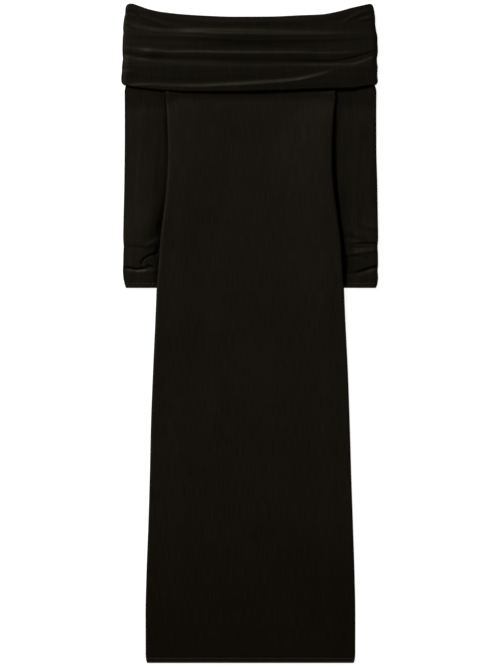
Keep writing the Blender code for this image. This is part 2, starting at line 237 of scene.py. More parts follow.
sleeves = {
    "cuffDrop": 568.0,
    "cuffBand": 9.5,          # depth of the turned cuff
    "cuffRise": 0.15,
    "cuffStep": 2.4,          # the band rises over this way
    "cuffCurl": 3.2,          # the cuff's edge turns down this far in
    "cuffFoot": 0.6,          # towards a height this far below the wall
    "cuffShare": 0.25,        # and keeps this share of its own height
    "fold": 0.75,             # half the height of a folded edge
    "foldSteps": 5,
    "leftClimb": 1.5,         # how steeply each sleeve rises from its outer edge
    "rightClimb": 2.4,
    "bodyClear": 0.5,         # it is flat again this far before the body's edge
    "outerRoll": 5.0,         # creases fade this near to the outer edge
    "innerRoll": 4.0,         # and this near to the body
    "collarReach": 50.0,      # under the collar the sleeves lie flatter, down to here
    "collarShare": 0.35,
    "deepest": -0.25,         # no crease goes lower than this
    "fullness": {             # how full each sleeve lies, and where across it is highest
        "drop": [130, 200, 300, 390, 440, 475, 500, 545, 558, 568],
        "left": [1.5, 1.7, 2.9, 5.0, 7.2, 6.2, 5.6, 5.2, 4.2, 2.8],
        "leftPeak": [0.50, 0.50, 0.54, 0.62, 0.66, 0.64, 0.78, 0.80, 0.80, 0.80],
        "right": [1.8, 2.0, 2.6, 3.4, 4.6, 5.0, 5.0, 4.6, 3.6, 2.6],
        "rightPeak": [0.03, 0.03, 0.03, 0.03, 0.03, 0.04, 0.05, 0.08, 0.1, 0.14],
    },
    "gap": {                  # how dark the painted shade in the tight gap beside the body is, and how wide
        "drop": [172, 184, 216, 236, 260, 292, 352, 385, 412, 442, 455, 480, 492, 505, 520, 545, 568],
        "left": [0.8, 0.95, 0.9, 0.8, 0.6, 0.4, 0.3, 0.4, 0.65, 0.75, 0.5, 0.1, 0.4, 0.4, 0.2, 0.1, 0.0],
        "leftWidth": [3, 4, 5, 8, 9, 9, 9, 10, 11, 16, 16, 6, 5, 5, 5, 5, 5],
        "right": [0.8, 0.9] + [0.97] * 14 + [0.95],
        "rightWidth": [4, 6, 8, 10, 11, 11.5, 12, 12, 11, 8, 11, 11, 10, 16, 17, 10, 4],
    },
    "gapSoft": 0.45,          # the share of its width over which the painted shade darkens the gap
    "shadow": 0.24,           # a painted shadow: the right sleeve is painted darker beyond the gap, where the raised body shades it
    "shadowReach": 3.0,       # as far as this many widths of the gap
    "shadowSoft": 2.4,
    "creaseShade": 0.85,      # how wide the painted shade at the bottom of a crease is, in widths of the crease
    "shadedDepth": 1.3,       # a crease this deep has its full painted shade
    # the painted shade is never darker than this
    "darkest": 0.97,
    "edges": {
        "drop": [130, 160, 176, 212, 224, 238, 254, 292, 360, 432, 468, 486, 500, 520, 532, 548, 556, 562,
                 568],
        "left": [-239.2, -247.2, -250.2, -250.2, -250.2, -250.2, -250.2, -250.4, -251.2, -252.8,
                 -253.4, -252.4, -253.1, -253.4, -254, -253, -251.4, -250, -247.8],
        "right": [242.2, 250.2, 254, 254, 254, 254, 254.1, 254.2, 256, 257.2, 257.8, 256.6,
                  257.4, 257.6, 256.8, 257.6, 256.8, 255.8, 253],
        "tuck": [-1, -1, 5.0, 5.2, 16, 34, 44, 42, 38, 33, 31, 29, 28, 27, 26, 24, 23.5, 23, 22],
    },
    "rows": {                 # how far apart the rows are from each drop on
        "from": [130, 160, 202, 420, 470],
        "step": [7.0, 2.5, 7.0, 2.0, 0.8],
    },
    "cuffFine": 12.0,         # the last rows start here, at these distances from the edge
    "cuffRows": [11.5, 10.8, 10.2, 9.6, 9.0, 8.4, 7.5, 6, 4.5, 3, 1.6, 0.7, 0],
    "upperColumns": 52,
    "lowerColumns": 14,
}
sleeveLeft, sleeveRight, sleeveTuck = (
    curveThrough(sleeves["edges"]["drop"], sleeves["edges"][column]) for column in ("left", "right", "tuck")
)
fullLeft, peakLeft, fullRight, peakRight = (
    curveThrough(sleeves["fullness"]["drop"], sleeves["fullness"][column])
    for column in ("left", "leftPeak", "right", "rightPeak")
)


def overSleeve(drop):
    # the front's edge lies on the sleeve from just below the collar
    return rampBetween(drop, body["onSleeveTop"], body["onSleeveFoot"])


def onCollarBack(drop):
    return rampBetween(drop, body["climbFoot"], body["climbTop"])


def bodyLayer(x, drop, slope, foot):
    # 2 on the collar's back and on a tucked sleeve, 0 on the floor
    tuck = np.maximum(sleeveTuck(drop), body["leastTuck"]) + body["pastTuck"]
    below = ramp((body["cuffDrop"] + foot - drop) / foot)
    left = ramp((tuck + slope - (x - bodyLeft(drop))) / slope) * below
    right = ramp((tuck + slope - (bodyRight(drop) - x)) / slope) * below
    return 2 * (1 - (1 - onCollarBack(drop)) * (1 - left) * (1 - right))


def backHeight(x, drop):
    return layer(bodyLayer(x, drop, body["backSlope"], body["backFoot"]))


def frontLayer(x, drop):
    # the front keeps its height over the tucked sleeves right up to the collar
    level = np.maximum(drop, body["levelTop"])
    atLevel = np.where(
        x < 0, bodyLeft(level) + x - bodyLeft(drop), bodyRight(level) - (bodyRight(drop) - x),
    )
    beside = bodyLayer(atLevel, level, body["slope"], body["foot"])
    here = bodyLayer(x, drop, body["slope"], body["foot"])
    fall = 2 * rampBetween(drop, body["frontFoot"], body["climbTop"])
    return np.maximum(np.maximum(beside, here), fall) + 1


def frontRelief(x, drop):
    # waves, ripples and the raised side edges of the front
    fromLeft, fromRight = x - bodyLeft(drop), bodyRight(drop) - x
    down = (drop - body["seamDrop"]) / (body["hemDrop"] - body["seamDrop"])
    relief = softWaves(x, drop, body["waves"]) + body["lift"]
    ripples = body["ripples"]
    for top, low, rise, width in zip(*(ripples[column] for column in ("top", "low", "rise", "width"))):
        relief = relief + rise * np.exp(-(((x - top - (low - top) * down) / width) ** 2))
    fallLeft = np.maximum(fromLeft - body["edgeFlat"], 0) / body["leftReach"]
    fallRight = np.maximum(fromRight - body["edgeFlat"], 0) / body["rightReach"]
    rim = (fromRight - body["rimPlace"]) / body["rimWidth"]
    relief = relief + edgeRiseLeft(drop) * np.exp(-(fallLeft ** 2))
    relief = relief + edgeRiseRight(drop) * np.exp(-(fallRight ** 2)) + rightRim(drop) * np.exp(-(rim ** 2))
    return np.maximum(relief, 0.0) * rampBetween(drop, body["looseTop"], body["looseFoot"])


def frontMeets(x, drop):
    # what the front's edges come down to: the back, or the folded edge of a sleeve
    meet = backHeight(x, drop) + body["panelGap"]
    onSleeve = layer(2 * onCollarBack(drop)) + 2 * sleeves["fold"] + body["onSleeveRise"]
    beside = overSleeve(drop) * (drop < body["cuffDrop"] + body["pastCuff"])
    return meet + np.maximum(onSleeve - meet, 0.0) * beside


def frontHeight(x, drop):
    z = layer(frontLayer(x, drop)) + frontRelief(x, drop)
    toHem = body["hemDrop"] - drop
    groove = (toHem - body["hemBand"] - body["hemGroove"]) / body["hemGrooveWidth"]
    z = z + body["hemRise"] * (ramp((body["hemBand"] - toHem) / body["hemStep"]) - np.exp(-(groove ** 2)))
    meet = frontMeets(x, drop)
    edge = np.minimum(x - bodyLeft(drop), bodyRight(drop) - x)
    z = np.maximum(z, meet + body["edgeLift"] * np.exp(-((edge / body["edgeLiftReach"]) ** 2)))
    z = meet + (z - meet) * nearTo(edge, np.where(x < 0, body["leftCurl"], body["rightCurl"]))
    z = body["hemFoot"] + (z - body["hemFoot"]) * nearTo(toHem, body["hemCurl"])
    return np.maximum(z, dress["wall"] / 2 + dress["clear"])


def makeBodyFront():
    rows = []
    for drop in rowDrops(body["frontRows"], body["hemFine"], body["hemDrop"], body["hemRows"]):
        x = fromEdges(bodyLeft(drop), bodyRight(drop), body["frontEdgeColumns"], body["frontColumns"])
        rows.append((x, np.full_like(x, drop)))
    x, drop = (np.array([row[i] for row in rows]) for i in (0, 1))
    return shell("bodyFront", x, drop, frontHeight(x, drop), False, shadeUnderCollar(x, drop))


def makeBodyBack():
    # the first row past the back's end is drawn up to that end and is the last
    end = body["hemDrop"] - body["backHem"]
    drops = rowDrops(body["backRows"], body["hemFine"], body["hemDrop"], body["hemRows"])
    rows = []
    for drop in drops[:np.searchsorted(drops, end) + 1]:
        tucked = overSleeve(drop) * rampBetween(drop, body["backTuckFoot"], body["backTuckTop"])
        inset = body["backInset"] + body["backTuck"] * tucked
        x = fromEdges(
            bodyLeft(drop) + inset, bodyRight(drop) - inset, body["backEdgeColumns"], body["backColumns"],
        )
        rows.append((x, np.full_like(x, min(drop, end))))
    x, drop = (np.array([row[i] for row in rows]) for i in (0, 1))
    return shell("bodyBack", x, drop, backHeight(x, drop), False)


# The sleeves: flat tubes with pushed-up creases above the wrists

# each crease is a path of places with its own depth, a ridge where that is below zero; shade is how dark its
# bottom is painted, as painted shade; on the lower side of its path, soft widens the crease and spread its
# painted shade
leftCreases = [
    {"x": [-215, -205, -195, -180], "drop": [486, 483, 479, 471], "depth": [0, -0.9, -1.5, -1.6],
     "width": 5.0, "soft": 1.3, "shade": 0},
    {"x": [-246, -232, -212, -196], "drop": [485, 486, 488.5, 490], "depth": [0.2, 0.5, 0.6, 0.3],
     "width": 2.4, "soft": 2.4, "shade": 0},
    {"x": [-184, -186, -188], "drop": [489, 494, 500], "depth": [1.8, 2.0, 1.6],
     "width": 3.9, "soft": 1.2, "shade": 1.0},
    {"x": [-187.6, -197.6, -205.8, -211.8, -214.8, -216.6], "drop": [499, 502.4, 506.4, 509.8, 514, 519],
     "depth": [1.6, 1.5, 1.4, 1.4, 1.4, 1.1], "width": 2.2, "soft": 1.4, "shade": 1.0, "spread": 2.4},
    {"x": [-254, -242.6, -225.8, -212.6, -199], "drop": [526, 527.4, 530.6, 529, 525.8],
     "depth": [1.0, 1.3, 1.5, 1.4, 0.6],
     "width": 2.1, "soft": 2.4, "shade": 0.95},
    {"x": [-240, -215, -196, -180], "drop": [535.5, 536.5, 535, 532], "depth": [-0.2, -0.4, -0.5, -0.5],
     "width": 2.8, "soft": 2.0, "shade": 0},
    {"x": [-203, -198, -194], "drop": [523, 525, 529], "depth": [0.8, 1.6, 1.0],
     "width": 2.2, "soft": 1.4, "shade": 0.6},
]
rightCreases = [
    {"x": [212, 221, 231, 236], "drop": [427, 446, 454, 462], "depth": [0, 0.9, 1.0, 0.4],
     "width": 3.6, "soft": 1.3, "shade": 0},
    {"x": [226, 237, 256], "drop": [435, 446, 450], "depth": [0, -0.9, -0.8],
     "width": 4.6, "soft": 1.2, "shade": 0},
    {"x": [200, 213, 227], "drop": [453, 462, 469], "depth": [-0.6, -1.0, -0.2],
     "width": 4.2, "soft": 1.2, "shade": 0},
    {"x": [194, 205, 217], "drop": [465, 469, 472], "depth": [0.6, 0.9, 0],
     "width": 2.6, "soft": 1.6, "shade": 0.2},
    {"x": [204, 221, 237, 257], "drop": [482.4, 479.4, 478.8, 480], "depth": [0.4, 1.0, 1.1, 0.9],
     "width": 2.0, "soft": 3.2, "shade": 0.75},
    {"x": [206, 221, 234, 246], "drop": [487.4, 487.2, 486.4, 485], "depth": [0.5, 0.8, 0.5, 0.2],
     "width": 2.0, "soft": 2.2, "shade": 0.4},
    {"x": [198, 212, 226, 242, 257], "drop": [502, 499.5, 497, 495, 492],
     "depth": [-0.4, -0.8, -0.8, -0.8, -0.4],
     "width": 3.8, "soft": 1.3, "shade": 0},
    {"x": [194, 204, 216, 224], "drop": [506, 505, 504, 503], "depth": [0.4, 0.7, 0.5, 0],
     "width": 2.4, "soft": 2.0, "shade": 0.3},
    {"x": [232, 236, 238], "drop": [505, 509, 515], "depth": [0.2, 0.9, 0.2],
     "width": 1.9, "soft": 1.4, "shade": 0.3},
    {"x": [202, 216, 229, 242, 257], "drop": [538.4, 536.4, 532.4, 528.2, 524],
     "depth": [0.2, 0.9, 1.6, 1.9, 1.9],
     "width": 2.3, "soft": 2.8, "shade": 1.0},
    {"x": [192, 200, 207], "drop": [538, 541, 545], "depth": [0.6, 0.7, 0],
     "width": 2.4, "soft": 1.6, "shade": 0.2},
]
sleeveWaves = [
    {"along": "drop", "rise": 0.12, "pitch": 27, "bend": 5, "bendLength": 310, "shift": 0.4},
    {"along": "drop", "rise": 0.06, "pitch": 15, "bend": 3, "bendLength": 190, "shift": 1.9},
    {"along": "across", "rise": 0.25, "pitch": 120, "bend": 12, "bendLength": 90, "shift": 2.6},
]


def shadeUnderCollar(x, drop):
    # painted shade: the cloth is painted dim just below the collar
    return dress["collarShade"] * rampBetween(drop - collarLow(x), dress["collarShadeReach"], 0.0)


def creaseShape(x, drop, crease):
    # distance to a crease's path, the depth there, and how far the place lies on its lower side
    nearest = np.full(np.broadcast(x, drop).shape, 1e9)
    depth, below = np.zeros(nearest.shape), np.zeros(nearest.shape)
    places = list(zip(crease["x"], crease["drop"], crease["depth"]))
    for (x0, drop0, depth0), (x1, drop1, depth1) in zip(places, places[1:]):
        length = math.hypot(x1 - x0, drop1 - drop0)
        t = np.clip(((x - x0) * (x1 - x0) + (drop - drop0) * (drop1 - drop0)) / length ** 2, 0, 1)
        away = np.hypot(x - x0 - t * (x1 - x0), drop - drop0 - t * (drop1 - drop0))
        side = np.clip((drop - drop0 - t * (drop1 - drop0)) / np.maximum(away, 0.01), 0, 1)
        nearer = away < nearest
        depth = np.where(nearer, depth0 + (depth1 - depth0) * t, depth)
        below = np.where(nearer, side, below)
        nearest = np.minimum(away, nearest)
    return nearest, depth, below


def creaseHeight(x, drop, crease):
    # a groove, steep above its path and soft below it
    away, depth, below = creaseShape(x, drop, crease)
    width = crease["width"] * (1 + (crease["soft"] - 1) * below)
    return -depth * np.exp(-((away / width) ** 2))


def sleeveEdges(side, drop):
    # the sleeve's outer edge, and the body's edge beside it
    return (sleeveLeft(drop), bodyLeft(drop)) if side < 0 else (sleeveRight(drop), bodyRight(drop))


def sleeveHeight(side, drop, shown, room):
    # the upper wall of a sleeve; shown is the distance from its outer edge, room what the body leaves free
    full, peak = (fullLeft, peakLeft) if side < 0 else (fullRight, peakRight)
    top = room * peak(drop)
    power = sleeves["leftClimb"] if side < 0 else sleeves["rightClimb"]
    climb = 1 - (1 - np.clip(shown / top, 0, 1)) ** power
    down = np.clip((shown - top) / (room - sleeves["bodyClear"] - top), 0, 1)
    down = np.cos(math.pi / 2 * down) if side < 0 else 1 - (down + ramp(down)) / 2
    return full(drop) * climb * down


def sleeveTop(side, x, drop, shown, room):
    loose = ramp((drop - body["climbTop"]) / sleeves["collarReach"])
    creases = leftCreases if side < 0 else rightCreases
    folds = sum(creaseHeight(x, drop, crease) for crease in creases)
    inside = nearTo(shown, sleeves["outerRoll"])
    inside = inside * nearTo(np.maximum(room - shown, 0.0), sleeves["innerRoll"])
    height = sleeveHeight(side, drop, shown, room) + (softWaves(x, drop, sleeveWaves) + folds) * inside
    height = height * (sleeves["collarShare"] + (1 - sleeves["collarShare"]) * loose)
    toCuff = sleeves["cuffDrop"] - drop
    cuff = sleeves["cuffRise"] * ramp((sleeves["cuffBand"] - toCuff) / sleeves["cuffStep"])
    height = np.maximum(height, sleeves["deepest"]) + cuff * inside
    kept = sleeves["cuffShare"] + (1 - sleeves["cuffShare"]) * nearTo(toCuff, sleeves["cuffCurl"])
    return (height + sleeves["cuffFoot"]) * kept - sleeves["cuffFoot"]


def sleevePlace(side, drop, across, wallSide):
    # across runs from the outer edge inwards; wallSide is 1 on the upper wall and -1 on the lower one
    outer, bodyEdge = sleeveEdges(side, drop)
    x = outer - side * (dress["wall"] / 2 + across)
    z = layer(2 * onCollarBack(drop)) + sleeves["fold"] * (1 + wallSide)
    return x, z + np.maximum(wallSide, 0.0) * sleeveTop(side, x, drop, across, -side * (bodyEdge - outer))


def paintedShade(side, drop, across, x):
    # painted shade: 1 where the sleeve is painted dark as it slips under the body and at the bottom of its
    # creases, with a fainter painted shadow beyond the right gap and the painted shade below the collar
    outer, bodyEdge = sleeveEdges(side, drop)
    name = "left" if side < 0 else "right"
    strength = np.interp(drop, sleeves["gap"]["drop"], sleeves["gap"][name])
    width = np.interp(drop, sleeves["gap"]["drop"], sleeves["gap"][f"{name}Width"])
    toBody = -side * (bodyEdge - outer) - across
    deep = strength * ramp((width - toBody) / (sleeves["gapSoft"] * width))
    if side > 0:
        shaded = ramp((sleeves["shadowReach"] * width - toBody) / (sleeves["shadowSoft"] * width))
        deep = np.maximum(deep, sleeves["shadow"] * strength * shaded)
    for crease in leftCreases if side < 0 else rightCreases:
        away, depth, below = creaseShape(x, drop, crease)
        width = sleeves["creaseShade"] * crease["width"] * (1 + (crease.get("spread", 1.0) - 1) * below)
        shaded = crease["shade"] * np.clip(depth / sleeves["shadedDepth"], 0, 1)
        deep = np.maximum(deep, shaded * np.exp(-((away / width) ** 2)))
    return np.clip(np.maximum(deep, shadeUnderCollar(x, drop)), 0, sleeves["darkest"])


def makeSleeve(name, side):
    # a ring of places at each row: up over the outer fold, across, down the inner fold and back below
    fold = sleeves["fold"]
    angles = np.linspace(0, math.pi / 2, sleeves["foldSteps"])
    bendIn, bendUp = fold * (1 - np.cos(angles)), np.sin(angles)
    rows = []
    for drop in rowDrops(sleeves["rows"], sleeves["cuffFine"], sleeves["cuffDrop"], sleeves["cuffRows"]):
        outer, bodyEdge = sleeveEdges(side, drop)
        width = -side * (bodyEdge - outer) - dress["wall"] / 2 + sleeveTuck(drop)
        upper = np.linspace(fold, width - fold, sleeves["upperColumns"])[1:-1]
        lower = np.linspace(width - fold, fold, sleeves["lowerColumns"])[1:-1]
        across = np.concatenate([
            bendIn, upper, width - bendIn[::-1], width - bendIn[1:], lower, bendIn[:0:-1],
        ])
        wallSide = np.concatenate([
            bendUp, np.ones_like(upper), bendUp[::-1], -bendUp[1:], -np.ones_like(lower), -bendUp[:0:-1],
        ])
        x, z = sleevePlace(side, drop, across, wallSide)
        rows.append((x, np.full_like(x, drop), z, paintedShade(side, drop, across, x)))
    x, drop, z, deep = (np.array([row[i] for row in rows]) for i in (0, 1, 2, 3))
    return shell(name, x, drop, z, True, deep)


# The collar: a wide doubled band that folds over, in four uneven drapes

collar = {
    "sides": {
        "drop": [3, 7, 12, 21, 25, 31, 40, 49, 58, 66, 76, 95, 104, 108, 118, 126, 132, 140, 147, 154,
                 158, 162],
        "left": [-246.2, -248.2, -248.8, -249.4, -250.6, -251.6, -252.8, -253.4, -253, -254,
                 -254.4, -254.7, -254.2, -253.8, -254.8, -255.7, -255.8, -256.4, -257.2, -257,
                 -255.4, -251.6],
        "right": [246.4, 248.2, 249.2, 250.6, 251.4, 251.6, 251.7, 252.8, 254.4, 256, 256.2, 257,
                  256, 255, 255.4, 256.6, 256.4, 256, 256.2, 257, 256, 253.2],
    },
    "top": {
        "x": [-245, -241.5, -238, -232, -226, -214, -202, -179, -159, -139, -98, -30, 41, 102, 142, 152,
              164, 182, 202, 226, 234, 239, 243, 246],
        "drop": [2.1, -0.1, -0.8, -0.3, 1.7, 6, 10.1, 15.3, 17.9, 20.1, 22.9, 25.4, 25.1, 22.5,
                 20.9, 19.9, 17.7, 13.8, 8.1, 2.7, 0.9, -0.3, 0, 2.1],
    },
    "low": {
        "x": [-250.8, -240, -215, -173, -115, -55, 45, 121, 160, 199, 229, 252.4],
        "drop": [163, 165.2, 168.8, 173.2, 176.2, 176.2, 174.4, 171.4, 170, 169.6, 165.2, 162.4],
    },
    "depth": 160.0,           # about how deep and wide the band is, for the spacing of its places
    "width": 510.0,
    "climbTop": 100.0,        # the inner wall climbs over the body's seam here
    "climbFoot": 126.0,
    "looseTop": 32.0,         # and the outer wall over this longer way
    "looseFoot": 138.0,
    "topRoll": 1.8,
    "lowRoll": 1.6,
    "rollSteps": 6,
    "fullness": 1.4,
    "lowFullness": 0.35,      # the share of that fullness left near the low edge
    "lowFullFoot": 6.0,       # it grows between these distances from the low edge
    "lowFullTop": 50.0,
    "settle": 50.0,           # the walls lie closer together from here down to the low edge
    "lowSink": 0.2,           # and the whole band sinks this far
    "lowTaper": 12.0,         # its drapes flatten from here, to this share
    "lowRelief": 0.93,
    "leastRelief": 0.15,
    "sideRoll": 7.5,
    "sideAir": 0.7,           # the share of a layer's pitch between the walls at the sides
    "sideAirRoll": 3.0,
    "turnedLayer": 0.75,      # where the band turns down to its back at both sides
    "dipFrom": 3.0,           # it dips where it reaches further out than a sleeve, fully at dipFull
    "dipFull": 10.0,
    "dipShare": 0.8,
    "leanFrom": 192.0,        # the band sinks between these towards its right end
    "leanTo": 254.0,
    "rightLean": 0.3,
    "innerShare": 0.35,       # how much of the drapes the inner wall follows
    "cornerFrom": 212.0,      # the turned top edge is painted dark at both corners as painted shade, fully from cornerTo outwards
    "cornerTo": 226.0,
    "cornerShade": 0.85,
    "cornerEdge": 2.8,        # down to here, fully above cornerFull
    "cornerFull": 1.2,
    "backInset": 3.6,
    "backRoll": 1.0,
    "edgeColumns": [0, 0.3, 0.8, 1.6, 2.7, 4.2, 6.2, 8.8],
    "columns": 150,
    "outerRows": 150,
    "innerRows": 26,
    "backColumns": 40,
    "backRows": 22,
}
# the drapes, from the top down: each has a row of values at these places across the collar, or one for all
drapeColumns = [-254, -241, -221, -195, -163, -109, -49, 11, 91, 145, 177, 209, 237, 256]
drapes = {
    "topRoll": {
        "drop": [9, 10, 14, 20.4, 27.4, 34.4, 36.4, 36.4, 35.4, 29.4, 24.4, 18.4, 14, 10],
        "rise": [0.1, 0.2, 0.3, 0.3, 0.3, 0.5, 0.6, 0.6, 0.5, 0.4, 0.3, 0.2, 0.2, 0.1],
        "above": 6,
        "below": [5, 5, 5, 5, 6, 6, 6.5, 6.5, 6.5, 6.5, 6, 6, 6, 6],
    },
    "first": {
        "drop": [54, 56, 57, 57.6, 58.6, 58.6, 61.2, 61.8, 63, 62.8, 62.5, 62, 61, 60],
        "rise": [0.4, 0.8, 1.2, 1.2, 1.1, 2.9, 4.6, 4.4, 3, 1.9, 1.1, 0.5, 0.2, 0.1],
        "above": [11, 12, 12, 8, 8, 6.6, 6.6, 6.2, 5.4, 5, 5, 5, 5, 5],
        "below": [16, 16, 18, 20, 22, 21, 18, 17, 14, 12, 12, 12, 12, 12],
    },
    "underFirst": {
        "drop": [62.4, 62.4, 62.4, 64.4, 64.8, 67.2, 71.4, 74, 72.4, 72, 70, 69.2, 68.4, 68.4],
        "rise": [0, 0, 0.1, 0.2, 0.3, 0.4, 0.4, 0.5, 0.5, 0.6, 0.4, 0.3, 0.2, 0],
        "above": 3,
        "below": 4,
    },
    "second": {
        "drop": [88.4, 90.4, 93, 96.4, 98.4, 98, 99.2, 99.8, 99.8, 101, 100.4, 98.4, 96.6, 95.4],
        "rise": [0.1, 0.2, 0.45, 2.6, 0.9, 1.2, 1.7, 1.7, 1.5, 1.0, 0.8, 0.5, 0.1, 0],
        "above": [4, 4, 3.4, 4.0, 3, 3, 3, 3.2, 3, 3, 3, 3.4, 4, 4],
        "below": [6, 7, 9, 12, 10, 10, 10.5, 10.5, 10, 9, 7, 6, 5, 5],
    },
    "thirdCrease": {
        "drop": [101, 103, 107, 109, 110.5, 112.4, 115.8, 117.8, 117, 117.4, 115.6, 109.4, 101, 94],
        "rise": [-0.6, -0.9, -1.1, -1.1, -0.8, -0.6, -0.7, -0.8, -1.0, -1.9, -2.2, -4.6, -4.6, -3.4],
        "above": [6, 6, 6, 6, 7, 7, 6, 6, 5, 2.8, 2.4, 2.2, 2.2, 2.4],
        "below": [5, 4.6, 4.2, 5, 6, 7, 7, 7, 7, 5, 5.2, 8, 6.5, 6],
    },
    "sideFold": {
        "drop": 137,
        "rise": [0.4, 0.5, 0.1, 0, 0, 0, 0, 0, 0, 0, 0, 0, 0, 0],
        "above": 4,
        "below": 5,
    },
    "lowDrape": {
        "drop": [166.6, 166.2, 164.2, 164.4, 167, 168, 165.4, 162, 155.6, 144, 134.6, 131, 129.4, 128.4],
        "rise": [0.4, 0.9, 1.3, 1.3, 1.5, 2.2, 2.6, 3.4, 2.8, 1.4, 0.5, 0.3, 0.1, 0],
        "above": [4, 3.8, 3.8, 4.2, 5.6, 5.4, 5.2, 4.8, 5, 5.4, 7, 7, 7, 7],
        "below": [24, 24, 24, 24, 30, 36, 44, 54, 56, 50, 40, 30, 24, 24],
    },
    "lowSwell": {             # a slow swell at the low right corner
        "drop": 174,
        "rise": [0, 0, 0, 0, 0, 0, 0, 0.1, 0.6, 2.0, 2.6, 2.2, 1.6, 0.8],
        "above": 36,
        "below": 20,
    },
}
# short pleats at both upper corners, along their paths
collarPleats = [
    {"x": [-228, -212, -197, -179], "drop": [34, 42, 46, 50], "depth": [0.3, 0.5, 0.4, 0],
     "width": 3.6, "soft": 1.2},
    {"x": [-240, -231, -222], "drop": [15, 19, 27], "depth": [0.4, 0.7, 0.6],
     "width": 2.6, "soft": 1.2},
    {"x": [-244, -234, -216], "drop": [40, 46, 50], "depth": [-0.5, -0.8, -0.4],
     "width": 4.0, "soft": 1.0},
    {"x": [-234, -217, -195, -172, -154], "drop": [20, 25.6, 33.6, 41.6, 47],
     "depth": [-0.3, -0.6, -0.8, -0.7, 0],
     "width": 5.2, "soft": 1.0},
    {"x": [186, 192, 209, 224, 238], "drop": [38, 35, 25, 19, 13], "depth": [0, -0.5, -0.7, -0.6, -0.3],
     "width": 3.4, "soft": 1.0},
    {"x": [214, 226, 239], "drop": [35, 32, 29], "depth": [0, -0.7, -0.9],
     "width": 3.2, "soft": 1.0},
]
collarWaves = [
    {"along": "across", "rise": 0.05, "pitch": 21, "bend": 3.2, "bendLength": 330, "shift": 0.9},
    {"along": "across", "rise": 0.03, "pitch": 13, "bend": 2.6, "bendLength": 210, "shift": 2.2},
    {"along": "drop", "rise": 0.05, "pitch": 46, "bend": 3, "bendLength": 120, "shift": 1.5},
]
collarLeft, collarRight = (
    curveThrough(collar["sides"]["drop"], collar["sides"][side]) for side in ("left", "right")
)
collarTop, collarLow = (curveThrough(collar[edge]["x"], collar[edge]["drop"]) for edge in ("top", "low"))


def drapeHeight(x, drop, drape):
    # one drape: its crest runs across the cloth, and it falls away above and below the crest
    crest, rise, above, below = (
        curveThrough(drapeColumns, drape[column])(x) if isinstance(drape[column], list) else drape[column]
        for column in ("drop", "rise", "above", "below")
    )
    away = drop - crest
    return rise * np.exp(-((away / np.where(away < 0, above, below)) ** 2))


def alongEdge(edge, u):
    # the drop of the top or low edge, a share u of the way across
    first, last = collar[edge]["x"][0], collar[edge]["x"][-1]
    return (collarTop if edge == "top" else collarLow)(first + (last - first) * u)


def collarPlace(u, v, inset):
    # u runs from side to side and v from the top edge to the low edge
    first, last = collar["sides"]["drop"][0], collar["sides"]["drop"][-1]
    sideDrop = first + (last - first) * v
    left, right = collarLeft(sideDrop) + inset, collarRight(sideDrop) - inset
    top, low = alongEdge("top", u), alongEdge("low", u)
    return left + (right - left) * u, top + inset + (low - top - 2 * inset) * v


def fromSides(x, drop):
    return np.minimum(x - collarLeft(drop), collarRight(drop) - x)


def collarRelief(x, drop):
    full = rampBetween(collarLow(x) - drop, collar["lowFullFoot"], collar["lowFullTop"])
    height = collar["fullness"] * (collar["lowFullness"] + (1 - collar["lowFullness"]) * full)
    height = height + sum(drapeHeight(x, drop, drape) for drape in drapes.values())
    height = height - collar["rightLean"] * rampBetween(x, collar["leanFrom"], collar["leanTo"])
    height = height + softWaves(x, drop, collarWaves)
    height = height + sum(creaseHeight(x, drop, pleat) for pleat in collarPleats)
    return np.maximum(height, collar["leastRelief"]) * nearTo(fromSides(x, drop), collar["sideRoll"])


def collarHeights(x, drop):
    # the inner wall climbs over the body and sleeves; at both sides the band turns down to its back
    climb = rampBetween(drop, collar["climbTop"], collar["climbFoot"])
    loose = rampBetween(drop, collar["looseTop"], collar["looseFoot"])
    side, toLow = fromSides(x, drop), collarLow(x) - drop
    room = np.where(x < 0, sleeveLeft(drop) - collarLeft(drop), collarRight(drop) - sleeveRight(drop))
    dip = np.clip((room - collar["dipFrom"]) / (collar["dipFull"] - collar["dipFrom"]), 0, 1)
    dip = dip * (1 - ramp(side / np.maximum(collar["dipShare"] * room, 1.0)))
    settle, thin = ramp(toLow / collar["settle"]), ramp(toLow / collar["lowTaper"])
    turned = layer(collar["turnedLayer"])
    low, high = (
        turned + (layer(2 + 2 * rise * (1 - dip)) - turned) * nearTo(side, collar["backInset"])
        - collar["lowSink"] * (1 - settle) for rise in (climb, np.maximum(climb, loose))
    )
    share = collar["sideAir"] + (1 - collar["sideAir"]) * nearTo(side, collar["sideAirRoll"])
    relief = collarRelief(x, drop)
    high = high + dress["wall"] + (dress["pitch"] * share - dress["wall"]) * settle
    high = high + relief * (collar["lowRelief"] + (1 - collar["lowRelief"]) * thin)
    low = low + collar["innerShare"] * relief * settle
    return low, np.maximum(high, low + dress["wall"] + dress["clear"])


def collarCornerShade(x, drop, isOuter):
    # painted shade: the turned top edge is painted dark at both corners
    corner = rampBetween(np.abs(x), collar["cornerFrom"], collar["cornerTo"])
    edge = rampBetween(drop - collarTop(x), collar["cornerEdge"], collar["cornerFull"])
    return collar["cornerShade"] * corner * edge * isOuter


def downPlaces(count, topRoll, lowRoll):
    # places down the collar from 0 to 1, close together where it folds
    bend = 1 - np.cos(np.linspace(0, math.pi / 2, collar["rollSteps"]))
    start, end = bend * topRoll / collar["depth"], 1 - bend * lowRoll / collar["depth"]
    return np.concatenate([start, np.linspace(start[-1], end[-1], count)[1:-1], end[::-1]])


def acrossPlaces(count):
    # places across the collar from 0 to 1, close together at both sides
    near = np.array(collar["edgeColumns"]) / collar["width"]
    return np.concatenate([near, np.linspace(near[-1], 1 - near[-1], count)[1:-1], 1 - near[::-1]])


